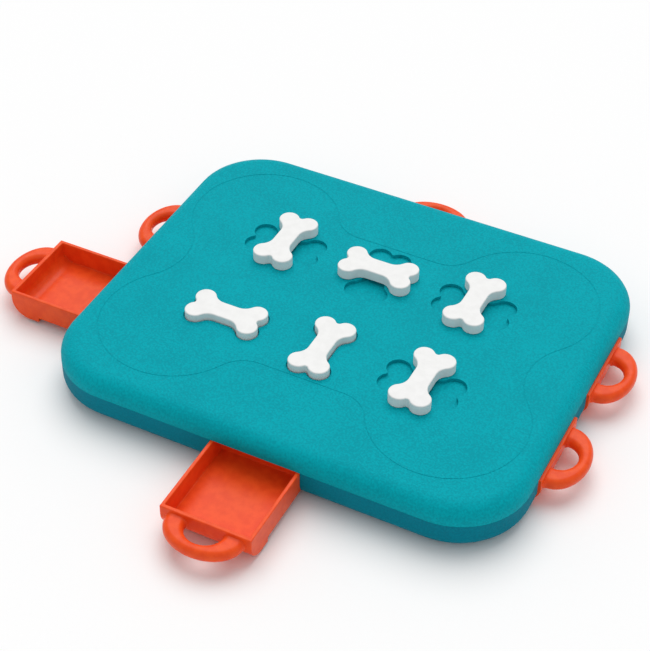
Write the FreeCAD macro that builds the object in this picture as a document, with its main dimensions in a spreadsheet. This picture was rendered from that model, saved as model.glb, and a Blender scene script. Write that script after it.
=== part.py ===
import FreeCAD, Part
import math
import os
from types import SimpleNamespace

import Sketcher
from FreeCAD import Placement, Rotation, Vector

# A puzzle feeder for dogs: a low plate with six pull-out food drawers and six turning bone-shaped blocks.
# Origin: the middle of the plate on the floor. X runs along the plate, Y across it, Z up, front at -Y.

os.makedirs("parts", exist_ok=True)
doc = FreeCAD.newDocument("puzzle_feeder")

# Driving dimensions, in millimetres

SIZES = [
    # the plate as a whole
    ("plate_long", 402, "length of the plate along X"),
    ("plate_wide", 332, "width of the plate along Y"),
    ("plan_round", 60, "corner radius seen from above"),
    ("foot_proud", 2.0, "height of the base's underside above the floor"),
    ("base_high", 25.3, "height of the base, without its lip"),
    ("seam_gap", 0.2, "open seam between base and cover"),
    ("cover_high", 16.5, "height of the cover"),
    ("cover_round", 14, "rounding of the cover's upper edge"),
    ("cover_wall", 3.0, "wall of the cover"),
    ("base_round", 13, "rounding of the base's lower edge"),
    ("base_wall", 2.6, "side wall of the base"),
    ("floor_wall", 2.6, "floor of the base"),
    ("bite", 0.5, "depth to which a rib or boss runs into the wall that carries it"),
    # the lip that centres the cover on the base
    ("lip_gap", 0.3, "gap between the lip and the cover's wall"),
    ("lip_wall", 1.6, "thickness of the lip"),
    ("lip_high", 3.0, "height of the lip above the seam"),
    ("shoulder_deep", 4.0, "depth of the shoulder that carries the lip"),
    # the places of bones and drawers
    ("bone_inset", 114, "distance from the plate's edge to the middle of each bone"),
    ("row_pitch", 104, "distance between the two rows along the plate"),
    # the bone-shaped blocks
    ("bone_thick", 9.0, "thickness of a bone"),
    ("bone_lobe_x", 23.8, "middle of a lobe along the bone"),
    ("bone_lobe_y", 8.9, "middle of a lobe across the bone"),
    ("bone_lobe_r", 8.7, "radius of a lobe"),
    ("bone_waist", 8.6, "half the width of the shaft"),
    ("bone_neck_r", 12, "radius between shaft and lobe"),
    ("bone_end_x", 28.3, "bottom of the notch between two lobes"),
    ("bone_edge", 1.1, "rounding of a bone's upper edge"),
    ("bone_rest_gap", 0.3, "gap under a bone that lies on the cover"),
    ("tongue_long", 10, "length of the tongue's section"),
    ("tongue_thick", 3.6, "thickness of the tongue's section"),
    ("tongue_clear", 0.4, "height at which a crossed tongue passes over a drawer's tail"),
    # the recesses in the cover
    ("recess_deep", 3.0, "depth of a recess"),
    ("recess_clear", 1.3, "gap round a bone in its recess"),
    ("bed_wall", 2.6, "thickness of the cover under a recess"),
    ("bed_round", 12, "corner radius of the thick bed under a recess"),
    # the slotted bushes
    ("bush_r", 6.9, "radius of a bush"),
    ("bush_clear", 0.3, "gap round a bush and its tongue"),
    ("bush_head_r", 8.2, "radius of the bush's head"),
    ("bush_head_high", 1.6, "height of the bush's head"),
    ("bush_boss_r", 11, "radius of the boss that holds the bush"),
    ("bush_boss_deep", 3.4, "depth of that boss below the bed"),
    ("bush_snap_r", 7.9, "radius of the snap ring below the boss"),
    ("bush_snap_high", 1.5, "height of the snap ring"),
    # the drawers
    ("drawer_wide", 77, "width of a drawer"),
    ("drawer_deep", 88, "depth of a drawer behind the plate's edge"),
    ("drawer_proud", 2.5, "how far a closed drawer stands out"),
    ("drawer_front_wall", 3.4, "thickness of the drawer's front"),
    ("drawer_side_wall", 3.0, "thickness of the drawer's other walls"),
    ("drawer_floor", 2.0, "thickness of the drawer's floor"),
    ("drawer_corner", 2.5, "inner corner radius of a drawer"),
    ("drawer_edge", 0.6, "rounding of the drawer's rim"),
    ("rim_gap", 0.3, "gap between the drawer's rim and the cover"),
    ("slide_gap", 0.3, "gap under and beside a drawer"),
    ("front_deep", 23, "depth of the drawer's low front part"),
    ("front_lift", 0.2, "height of that part above the base's underside"),
    ("front_round", 16, "rounding of the drawer's lower front edge"),
    ("core_wall", 2.2, "wall round the hollow under the low front part"),
    ("drawer_travel", 77, "full travel of a drawer"),
    ("open_front", 73, "how far the front drawer is pulled out"),
    ("open_left", 70, "how far the left front drawer is pulled out"),
    # the drawer's tail, which the tongue of the bone runs in
    ("tail_wide", 30, "width of the tail"),
    ("tail_thick", 3.0, "thickness of the tail"),
    ("tail_end", 15, "length of the tail behind the tongue"),
    ("tail_slot", 4.6, "width of the slot in the tail"),
    ("tail_pocket_r", 5.8, "radius of the pocket for a crossed tongue"),
    ("ear_thick", 3.0, "thickness of a stop ear"),
    ("ear_wide", 4.5, "width of a stop ear"),
    ("ear_out", 6.5, "distance of a stop ear from the tail's middle"),
    ("ear_high", 3.8, "height of a stop ear"),
    # the pull handle
    ("handle_bar", 5.5, "radius of the handle's bar"),
    ("handle_reach", 25, "reach of the handle from the drawer's front"),
    ("handle_half", 27.5, "half the width of the handle, to the middle of its bar"),
    ("handle_leg", 1.5, "straight length of the handle at the front"),
    ("handle_side_r", 14, "radius at the sides of the handle"),
    ("handle_drop", 8.9, "depth of the bar's middle below the rim"),
    ("handle_sink", 1.6, "how deep the bar starts inside the front"),
    # ribs of the cover and guides of the drawers
    ("rib_wall", 2.0, "thickness of ribs and guides"),
    ("rib_half", 12, "distance of a hold-down rib from the drawer's middle"),
    ("rib_gap", 0.4, "gap between a tail or rim and the rib over it"),
    ("rib_edge", 9, "distance of a rib's end from the plate's edge"),
    ("rib_tail", 133, "distance of a rib's other end from the plate's edge"),
    ("stop_gap", 0.4, "gap at the drawer's stops"),
    ("wall_edge", 18.5, "distance of a guide's end from the plate's edge"),
    ("runner_high", 1.6, "height of a runner on the floor"),
    ("runner_wide", 3.0, "width of a runner"),
    ("runner_half", 25, "distance of a runner from the drawer's middle"),
    ("guide_gap", 0.1, "gap under a drawer guide"),
    # the large bone-shaped line on the cover
    ("line_lobe_x", 119.5, "middle of a lobe along X"),
    ("line_lobe_y", 76, "middle of a lobe along Y"),
    ("line_lobe_r", 64, "radius of a lobe"),
    ("line_waist", 89, "half the width of its shaft"),
    ("line_neck_r", 28, "radius between shaft and lobe"),
    ("line_end_x", 155.5, "bottom of its end notch"),
    ("line_half", 0.5, "half the width of the line"),
    ("line_deep", 0.25, "depth of the line"),
    # screws and feet
    ("screw_r", 1.5, "radius of a screw"),
    ("screw_long", 24, "length of a screw under its head"),
    ("screw_head_r", 2.9, "radius of a screw's head"),
    ("screw_head_high", 2.0, "height of a screw's head"),
    ("screw_head_deep", 5.0, "depth of the head's seat above the underside"),
    ("screw_cross_long", 3.4, "length of the cross in the head"),
    ("screw_cross_wide", 0.8, "width of the cross in the head"),
    ("screw_cross_deep", 1.2, "depth of the cross in the head"),
    ("screw_thread_clear", 0.05, "gap round a screw in the cover"),
    ("screw_hole_clear", 0.3, "gap round a screw and its head in the base"),
    ("post_r", 4.5, "radius of a screw post"),
    ("post_hole_deep", 11, "depth of a screw hole in the cover"),
    ("screw_corner_inset", 43, "distance of a corner screw from the plate's end"),
    ("screw_side_x", 72, "place of the side screws along X"),
    ("screw_side_inset", 44, "distance of corner and side screws from the plate's long side"),
    ("screw_end_inset", 51, "distance of an end screw from the plate's end"),
    ("screw_inner_x", 45, "place of the inner screws along X"),
    ("foot_r", 9, "radius of a rubber foot"),
    ("foot_sunk", 1.0, "depth of a foot in the underside"),
    ("foot_clear", 0.2, "gap round a foot"),
    ("foot_edge", 0.6, "rounding of a foot"),
    ("foot_end_inset", 63, "distance of a corner foot from the plate's end"),
    ("foot_side_inset", 62, "distance of a corner foot from the plate's long side"),
]

sheet = doc.addObject("Spreadsheet::Sheet", "sizes")
for row, (alias, number, meaning) in enumerate(SIZES, start=1):
    sheet.set("A%d" % row, alias)
    sheet.set("B%d" % row, str(number))
    sheet.setAlias("B%d" % row, alias)
    sheet.set("C%d" % row, meaning)
doc.recompute()


class Dim:
    """A size that carries its expression on the sheet and its present value."""

    def __init__(self, text, value):
        self.text = text
        self.value = float(value)

    def _join(self, other, sign, value, swap=False):
        text = other.text if isinstance(other, Dim) else repr(other)
        first, second = (text, self.text) if swap else (self.text, text)
        return Dim("(%s %s %s)" % (first, sign, second), value)

    def __add__(self, other):
        return self._join(other, "+", self.value + number_of(other))

    def __radd__(self, other):
        return self._join(other, "+", number_of(other) + self.value, swap=True)

    def __sub__(self, other):
        return self._join(other, "-", self.value - number_of(other))

    def __rsub__(self, other):
        return self._join(other, "-", number_of(other) - self.value, swap=True)

    def __mul__(self, other):
        return self._join(other, "*", self.value * number_of(other))

    def __rmul__(self, other):
        return self._join(other, "*", number_of(other) * self.value, swap=True)

    def __truediv__(self, other):
        return self._join(other, "/", self.value / number_of(other))

    def __neg__(self):
        return Dim("(0 - %s)" % self.text, -self.value)


def number_of(size):
    return size.value if isinstance(size, Dim) else float(size)


def root(size):
    return Dim("sqrt(%s)" % size.text, math.sqrt(size.value))


d = SimpleNamespace(**{alias: Dim("sizes." + alias, number) for alias, number, _ in SIZES})

# Heights and places that follow from the sheet

half_long = d.plate_long / 2
half_wide = d.plate_wide / 2
under_z = d.foot_proud
floor_z = under_z + d.floor_wall
base_top = under_z + d.base_high
cover_low = base_top + d.seam_gap
plate_top = cover_low + d.cover_high
ceiling_z = plate_top - d.cover_wall
recess_z = plate_top - d.recess_deep
bed_z = recess_z - d.bed_wall
boss_z = bed_z - d.bush_boss_deep
rim_z = cover_low - d.rim_gap
tail_z = rim_z - d.tail_thick
rib_z = rim_z + d.rib_gap
drawer_low = floor_z + d.runner_high + d.slide_gap
front_low = under_z + d.front_lift
bay_half = d.drawer_wide / 2 + d.slide_gap
bone_x = half_long - d.bone_inset
bone_y = d.row_pitch / 2
middle_bone_y = half_wide - d.bone_inset

# Tools for drawing


def tie(thing, path, size):
    """Set a property of a document object to a size of the sheet."""
    if isinstance(size, Dim):
        thing.setExpression(path, size.text)


def new_body(label):
    body = doc.addObject("PartDesign::Body", label)
    body.Label = label
    return body


def put(body, x=0, y=0, z=0, turn=0):
    """Place a finished sub-part, turned about its own vertical axis."""
    spot = Vector(number_of(x), number_of(y), number_of(z))
    body.Placement = Placement(spot, Rotation(Vector(0, 0, 1), turn))
    for axis, size in zip("xyz", (x, y, z)):
        tie(body, "Placement.Base." + axis, size)


class Drawing:
    """A sketch on one of a body's own planes. Its points and radii follow the sheet."""

    def __init__(self, body, name, plane="XY_Plane", at=(0, 0, 0), turn=0):
        self.sketch = body.newObject("Sketcher::SketchObject", name)
        face = next(part for part in body.Origin.OriginFeatures if part.Role == plane)
        self.sketch.AttachmentSupport = [(face, "")]
        self.sketch.MapMode = "FlatFace"
        spot = Vector(*[number_of(size) for size in at])
        self.sketch.AttachmentOffset = Placement(spot, Rotation(Vector(0, 0, 1), turn))
        for axis, size in zip("xyz", at):
            tie(self.sketch, "AttachmentOffset.Base." + axis, size)

    def size(self, constraint, size):
        """Add a constraint whose value is a size of the sheet."""
        index = self.sketch.addConstraint(constraint)
        tie(self.sketch, "Constraints[%d]" % index, size)

    def pin(self, item, point, x, y):
        """Hold a point of the drawing at x, y."""
        for kind, axis, size in (("DistanceX", -2, x), ("DistanceY", -1, y)):
            if isinstance(size, Dim):
                self.size(Sketcher.Constraint(kind, -1, 1, item, point, size.value), size)
            else:
                self.sketch.addConstraint(Sketcher.Constraint("PointOnObject", item, point, axis))

    def radius(self, item, size):
        self.size(Sketcher.Constraint("Radius", item, size.value), size)

    def line(self, start, end):
        a = Vector(number_of(start[0]), number_of(start[1]), 0)
        b = Vector(number_of(end[0]), number_of(end[1]), 0)
        return self.sketch.addGeometry(Part.LineSegment(a, b), False)

    def arc(self, centre, radius, start, end):
        """An arc that runs anticlockwise from the direction of start to that of end."""
        middle = Vector(centre[0], centre[1], 0)
        first = math.atan2(start[1] - centre[1], start[0] - centre[0])
        last = math.atan2(end[1] - centre[1], end[0] - centre[0])
        while last < first:
            last += 2 * math.pi
        ring = Part.Circle(middle, Vector(0, 0, 1), radius)
        return self.sketch.addGeometry(Part.ArcOfCircle(ring, first, last), False)

    def circle(self, x, y, radius):
        spot = Vector(number_of(x), number_of(y), 0)
        ring = Part.Circle(spot, Vector(0, 0, 1), radius.value)
        item = self.sketch.addGeometry(ring, False)
        self.pin(item, 3, x, y)
        self.radius(item, radius)

    def join(self, first, second):
        """Two neighbours share an end: each is an item and the number of its end."""
        self.sketch.addConstraint(Sketcher.Constraint("Coincident", *first, *second))

    def blend(self, first, second):
        """Two neighbours share an end and run on smoothly."""
        self.sketch.addConstraint(Sketcher.Constraint("Tangent", *first, *second))

    def polygon(self, corners):
        items = [self.line(a, b) for a, b in zip(corners, corners[1:] + corners[:1])]
        for item, after in zip(items, items[1:] + items[:1]):
            self.join((item, 2), (after, 1))
        for item, corner in zip(items, corners):
            self.pin(item, 1, *corner)

    def rectangle(self, x_low, x_high, y_low, y_high):
        self.polygon([(x_low, y_low), (x_high, y_low), (x_high, y_high), (x_low, y_high)])

    def round_rectangle(self, half_x, half_y, radius, x=0, y=0):
        """A rectangle with round corners about the point x, y."""
        hx, hy, r = half_x.value, half_y.value, radius.value
        cx, cy = number_of(x), number_of(y)
        lines = []
        arcs = []
        for sx, sy in ((1, 1), (-1, 1), (-1, -1), (1, -1)):
            centre = (cx + sx * (hx - r), cy + sy * (hy - r))
            side = (centre[0] + sx * r, centre[1])
            end = (centre[0], centre[1] + sy * r)
            first, last = (side, end) if sx * sy > 0 else (end, side)
            item = self.arc(centre, r, first, last)
            arcs.append(item)
            along = x + sx * (half_x - radius)
            across = y + sy * (half_y - radius)
            self.pin(item, 3, along, across)
            self.radius(item, radius)
        edge = [((cx + hx - r, cy + hy), (cx - hx + r, cy + hy)), ((cx - hx, cy + hy - r), (cx - hx, cy - hy + r)),
                ((cx - hx + r, cy - hy), (cx + hx - r, cy - hy)), ((cx + hx, cy - hy + r), (cx + hx, cy + hy - r))]
        for start, end in edge:
            lines.append(self.line(start, end))
        for index in range(4):
            after = arcs[(index + 1) % 4]
            self.blend((arcs[index], 2), (lines[index], 1))
            self.blend((lines[index], 2), (after, 1))

    def bone(self, lobe_x, lobe_y, lobe_r, waist, neck_r, end_x, grow):
        """A bone along X: four lobes, a straight shaft and a notch at each end, all grown by the same amount."""
        rise = waist + neck_r - lobe_y
        reach = lobe_r + neck_r
        neck_x = lobe_x - root(reach * reach - rise * rise)
        step = end_x - lobe_x
        end_r = (step * step + lobe_y * lobe_y - lobe_r * lobe_r) / (2 * (lobe_r - step))
        big, neck, notch = lobe_r + grow, neck_r - grow, end_r - grow
        shaft = waist + grow
        a, b = lobe_x.value, lobe_y.value
        centre = {}
        for sx, sy in ((1, 1), (-1, 1), (-1, -1), (1, -1)):
            centre["lobe", sx, sy] = (sx * a, sy * b)
            centre["neck", sx, sy] = (sx * neck_x.value, sy * (waist + neck_r).value)
        for sx in (1, -1):
            centre["notch", sx] = (sx * (end_x + end_r).value, 0.0)

        def touch(first, second):
            """The point where a lobe meets the circle beside it."""
            (x1, y1), (x2, y2) = first, second
            length = math.hypot(x2 - x1, y2 - y1)
            return (x1 + (x2 - x1) * big.value / length, y1 + (y2 - y1) * big.value / length)

        lobes, necks, notches = {}, {}, {}
        for sx, sy in ((1, 1), (-1, 1), (-1, -1), (1, -1)):
            lobe = centre["lobe", sx, sy]
            at_neck = touch(lobe, centre["neck", sx, sy])
            at_notch = touch(lobe, centre["notch", sx])
            ccw = sx * sy > 0
            first, last = (at_notch, at_neck) if ccw else (at_neck, at_notch)
            lobes[sx, sy] = self.arc(lobe, big.value, first, last)
            self.pin(lobes[sx, sy], 3, sx * lobe_x, sy * lobe_y)
            self.radius(lobes[sx, sy], big)
            hub = centre["neck", sx, sy]
            at_shaft = (hub[0], sy * shaft.value)
            first, last = (at_shaft, at_neck) if ccw else (at_neck, at_shaft)
            necks[sx, sy] = self.arc(hub, neck.value, first, last)
            self.radius(necks[sx, sy], neck)
            self.blend((lobes[sx, sy], 2 if ccw else 1), (necks[sx, sy], 2 if ccw else 1))
        for sx in (1, -1):
            hub = centre["notch", sx]
            upper = touch(centre["lobe", sx, 1], hub)
            lower = touch(centre["lobe", sx, -1], hub)
            first, last = (upper, lower) if sx > 0 else (lower, upper)
            notches[sx] = self.arc(hub, notch.value, first, last)
            self.radius(notches[sx], notch)
            for sy in (1, -1):
                ccw = sx * sy > 0
                self.blend((lobes[sx, sy], 1 if ccw else 2), (notches[sx], 1 if ccw else 2))
        for sy in (1, -1):
            x = neck_x.value
            item = self.line((-x, sy * shaft.value), (x, sy * shaft.value))
            self.sketch.addConstraint(Sketcher.Constraint("Horizontal", item))
            self.size(Sketcher.Constraint("DistanceY", -1, 1, item, 1, sy * shaft.value), sy * shaft)
            for sx, end in ((-1, 1), (1, 2)):
                ccw = sx * sy > 0
                self.blend((item, end), (necks[sx, sy], 1 if ccw else 2))


def pad(body, name, drawing, length):
    made = body.newObject("PartDesign::Pad", name)
    made.Profile = drawing.sketch
    tie(made, "Length", length)
    doc.recompute()
    return made


def cut(body, name, drawing, length=None, forward=False):
    """Cut a drawing's shape out of the body, against or along the drawing's normal."""
    before = body.Shape.Volume
    made = body.newObject("PartDesign::Pocket", name)
    made.Profile = drawing.sketch
    made.Reversed = forward
    if length is None:
        made.Type = "ThroughAll"
    else:
        tie(made, "Length", length)
    doc.recompute()
    if not body.Shape.Volume < before:
        raise RuntimeError(name + " cuts nothing")
    return made


def edges_where(shape, test):
    """The names of the edges whose every sampled point passes the test."""
    found = []
    for index, edge in enumerate(shape.Edges, start=1):
        points = [edge.valueAt(edge.FirstParameter + share * (edge.LastParameter - edge.FirstParameter))
                  for share in (0, 0.5, 1)]
        if all(test(point) for point in points):
            found.append("Edge%d" % index)
    return found


def round_edges(body, name, base, radius, test):
    names = edges_where(base.Shape, test)
    if not names:
        raise RuntimeError(name + " finds no edge")
    made = body.newObject("PartDesign::Fillet", name)
    made.Base = (base, names)
    tie(made, "Radius", radius)
    doc.recompute()
    return made


def near(a, b, slack=1e-4):
    return abs(a - number_of(b)) < slack


# The places of the six bones and their drawers

BONES = {
    1: SimpleNamespace(x=-bone_x, y=bone_y, side="left", bay="left_back", sunk=False, pulled=0),
    2: SimpleNamespace(x=0, y=middle_bone_y, side="back", bay="back", sunk=False, pulled=0),
    3: SimpleNamespace(x=bone_x, y=bone_y, side="right", bay="right_back", sunk=False, pulled=0),
    4: SimpleNamespace(x=-bone_x, y=-bone_y, side="left", bay="left_front", sunk=True, pulled=d.open_left),
    5: SimpleNamespace(x=0, y=-middle_bone_y, side="front", bay="front", sunk=True, pulled=d.open_front),
    6: SimpleNamespace(x=bone_x, y=-bone_y, side="right", bay="right_front", sunk=False, pulled=0),
}
OUTWARD = {"right": 0, "back": 90, "left": 180, "front": 270}

corner_screw_x = half_long - d.screw_corner_inset
side_screw_y = half_wide - d.screw_side_inset
end_screw_x = half_long - d.screw_end_inset
SCREWS = [(sx * corner_screw_x, sy * side_screw_y) for sx in (1, -1) for sy in (1, -1)]
SCREWS += [(sx * d.screw_side_x, sy * side_screw_y) for sx in (1, -1) for sy in (1, -1)]
SCREWS += [(sx * end_screw_x, 0) for sx in (1, -1)]
SCREWS += [(sx * d.screw_inner_x, 0) for sx in (1, -1)]

foot_x = half_long - d.foot_end_inset
foot_y = half_wide - d.foot_side_inset
FEET = {
    "foot_middle": (0, 0),
    "foot_front_left": (-foot_x, -foot_y),
    "foot_front_right": (foot_x, -foot_y),
    "foot_back_left": (-foot_x, foot_y),
    "foot_back_right": (foot_x, foot_y),
}


def bay_rectangle(drawing, spot, far, near_edge, low, high):
    """A rectangle in a drawer's bay: far and near_edge count inward from the plate's edge, low and high across."""
    if spot.side == "right":
        drawing.rectangle(half_long - far, half_long - near_edge, spot.y + low, spot.y + high)
    elif spot.side == "left":
        drawing.rectangle(near_edge - half_long, far - half_long, spot.y + low, spot.y + high)
    elif spot.side == "back":
        drawing.rectangle(low, high, half_wide - far, half_wide - near_edge)
    else:
        drawing.rectangle(low, high, near_edge - half_wide, far - half_wide)


# The cover


def make_cover():
    body = new_body("top_cover")
    plan = Drawing(body, "cover_plan", at=(0, 0, cover_low))
    plan.round_rectangle(half_long, half_wide, d.plan_round)
    pad(body, "cover_block", plan, d.cover_high)
    inner = Drawing(body, "cover_inside", at=(0, 0, cover_low))
    inner.round_rectangle(half_long - d.cover_wall, half_wide - d.cover_wall, d.plan_round - d.cover_wall)
    hollow = cut(body, "cover_hollow", inner, d.cover_high - d.cover_wall, forward=True)
    inside = round_edges(body, "cover_inner_edge", hollow, d.cover_round - d.cover_wall,
                         lambda p: near(p.z, ceiling_z))
    round_edges(body, "cover_upper_edge", inside, d.cover_round, lambda p: near(p.z, plate_top))

    beds = Drawing(body, "cover_beds", at=(0, 0, bed_z))
    margin = d.recess_clear + d.bed_wall
    bed_long = d.bone_lobe_x + d.bone_lobe_r + margin
    bed_wide = d.bone_lobe_y + d.bone_lobe_r + margin
    for spot in BONES.values():
        along_x = spot.side in ("left", "right")
        half_x, half_y = (bed_long, bed_wide) if along_x else (bed_wide, bed_long)
        beds.round_rectangle(half_x, half_y, d.bed_round, spot.x, spot.y)
    pad(body, "cover_bed_pads", beds, ceiling_z - bed_z + d.bite)

    bosses = Drawing(body, "cover_bush_bosses", at=(0, 0, boss_z))
    for spot in BONES.values():
        bosses.circle(spot.x, spot.y, d.bush_boss_r)
    pad(body, "cover_bush_boss_pads", bosses, d.bush_boss_deep + d.bite)

    posts = Drawing(body, "cover_posts", at=(0, 0, cover_low))
    for x, y in SCREWS:
        posts.circle(x, y, d.post_r)
    pad(body, "cover_post_pads", posts, ceiling_z - cover_low + d.bite)

    ribs = Drawing(body, "cover_ribs", at=(0, 0, rib_z))
    for spot in BONES.values():
        bay_rectangle(ribs, spot, d.rib_tail, d.rib_edge, d.rib_half, d.rib_half + d.rib_wall)
        bay_rectangle(ribs, spot, d.rib_tail, d.rib_edge, -d.rib_half - d.rib_wall, -d.rib_half)
    pad(body, "cover_rib_pads", ribs, ceiling_z - rib_z + d.bite)

    stops = Drawing(body, "cover_stops", at=(0, 0, rib_z))
    stop_far = d.bone_inset + d.tail_end - d.ear_thick - d.drawer_travel - d.stop_gap
    for spot in BONES.values():
        bay_rectangle(stops, spot, stop_far, stop_far - d.rib_wall, -d.rib_half - d.bite, d.rib_half + d.bite)
    pad(body, "cover_stop_pads", stops, ceiling_z - rib_z + d.bite)

    for number, spot in BONES.items():
        turn = OUTWARD[spot.side] % 180
        recess = Drawing(body, "recess_%d" % number, at=(spot.x, spot.y, plate_top), turn=turn)
        recess.bone(d.bone_lobe_x, d.bone_lobe_y, d.bone_lobe_r, d.bone_waist, d.bone_neck_r, d.bone_end_x,
                    d.recess_clear)
        cut(body, "recess_pocket_%d" % number, recess, d.recess_deep)

    seats = Drawing(body, "bush_seats", at=(0, 0, recess_z))
    holes = Drawing(body, "bush_holes", at=(0, 0, recess_z))
    for spot in BONES.values():
        seats.circle(spot.x, spot.y, d.bush_head_r + d.bush_clear)
        holes.circle(spot.x, spot.y, d.bush_r + d.bush_clear)
    cut(body, "bush_seat_pockets", seats, d.bush_head_high + 2 * d.bush_clear)
    cut(body, "bush_hole_pockets", holes, recess_z - boss_z + d.bite)

    threads = Drawing(body, "screw_holes", at=(0, 0, cover_low))
    for x, y in SCREWS:
        threads.circle(x, y, d.screw_r + d.screw_thread_clear)
    cut(body, "screw_hole_pockets", threads, d.post_hole_deep, forward=True)

    line = Drawing(body, "bone_line", at=(0, 0, plate_top))
    for grow in (d.line_half, -d.line_half):
        line.bone(d.line_lobe_x, d.line_lobe_y, d.line_lobe_r, d.line_waist, d.line_neck_r, d.line_end_x, grow)
    cut(body, "bone_line_groove", line, d.line_deep)
    return body


# The base


def make_base():
    body = new_body("base_tray")
    plan = Drawing(body, "base_plan", at=(0, 0, under_z))
    plan.round_rectangle(half_long, half_wide, d.plan_round)
    pad(body, "base_block", plan, d.base_high)
    inner = Drawing(body, "base_inside", at=(0, 0, base_top))
    inner.round_rectangle(half_long - d.base_wall, half_wide - d.base_wall, d.plan_round - d.base_wall)
    hollow = cut(body, "base_hollow", inner, base_top - floor_z)
    inside = round_edges(body, "base_inner_edge", hollow, d.base_round - d.base_wall,
                         lambda p: near(p.z, floor_z))
    round_edges(body, "base_lower_edge", inside, d.base_round, lambda p: near(p.z, under_z))

    lip_out = d.cover_wall + d.lip_gap
    lip_in = lip_out + d.lip_wall
    shoulder = Drawing(body, "base_shoulder", at=(0, 0, base_top - d.shoulder_deep))
    for inset in (d.base_wall - d.bite, lip_in):
        shoulder.round_rectangle(half_long - inset, half_wide - inset, d.plan_round - inset)
    pad(body, "base_shoulder_pad", shoulder, d.shoulder_deep)
    lip = Drawing(body, "base_lip", at=(0, 0, base_top - d.bite))
    for inset in (lip_out, lip_in):
        lip.round_rectangle(half_long - inset, half_wide - inset, d.plan_round - inset)
    pad(body, "base_lip_pad", lip, d.lip_high + d.bite)

    posts = Drawing(body, "base_posts", at=(0, 0, floor_z - d.bite))
    for x, y in SCREWS:
        posts.circle(x, y, d.post_r)
    pad(body, "base_post_pads", posts, base_top - floor_z + d.bite)

    doors = Drawing(body, "drawer_doors", at=(0, 0, base_top + d.lip_high + d.bite))
    for spot in BONES.values():
        bay_rectangle(doors, spot, d.front_deep + d.stop_gap, -d.bite, -bay_half, bay_half)
    cut(body, "drawer_door_pockets", doors)

    heads = Drawing(body, "screw_head_seats", at=(0, 0, under_z))
    holes = Drawing(body, "screw_shank_holes", at=(0, 0, under_z))
    for x, y in SCREWS:
        heads.circle(x, y, d.screw_head_r + d.screw_hole_clear)
        holes.circle(x, y, d.screw_r + d.screw_hole_clear)
    cut(body, "screw_head_pockets", heads, d.screw_head_deep, forward=True)
    cut(body, "screw_shank_pockets", holes, forward=True)

    pads = Drawing(body, "foot_seats", at=(0, 0, under_z))
    for x, y in FEET.values():
        pads.circle(x, y, d.foot_r + d.foot_clear)
    cut(body, "foot_seat_pockets", pads, d.foot_sunk + d.foot_clear, forward=True)
    return body


# Drawers and their guides: in their own frame the plate's edge is at X = 0 and the handle points along +X


def stand(body, spot, pulled=0):
    """Place a drawer or guide at its side of the plate, pulled outward so far."""
    sx, sy = {"right": (1, 0), "back": (0, 1), "left": (-1, 0), "front": (0, -1)}[spot.side]
    x = sx * (half_long + pulled) if sx else spot.x
    y = sy * (half_wide + pulled) if sy else spot.y
    put(body, x, y, 0, OUTWARD[spot.side])


def make_guide(label, spot):
    """A frame on the base's floor: a back wall, two side walls and two low runners."""
    body = new_body(label)
    low = floor_z + d.guide_gap
    back_x = -d.drawer_deep - d.stop_gap
    outer = bay_half + d.rib_wall
    back = Drawing(body, label + "_back", at=(0, 0, low))
    back.rectangle(back_x - d.rib_wall, back_x, -outer, outer)
    pad(body, label + "_back_pad", back, tail_z - d.stop_gap - low)
    sides = Drawing(body, label + "_sides", at=(0, 0, low))
    runners = Drawing(body, label + "_runners", at=(0, 0, low))
    runner_end = -d.front_deep - 2 * d.stop_gap
    sides.rectangle(back_x - d.bite, -d.wall_edge, bay_half, outer)
    sides.rectangle(back_x - d.bite, -d.wall_edge, -outer, -bay_half)
    runners.rectangle(back_x - d.bite, runner_end, d.runner_half, d.runner_half + d.runner_wide)
    runners.rectangle(back_x - d.bite, runner_end, -d.runner_half - d.runner_wide, -d.runner_half)
    pad(body, label + "_side_pads", sides, base_top - low)
    pad(body, label + "_runner_pads", runners, d.runner_high - d.guide_gap)
    stand(body, spot)
    return body


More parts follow.
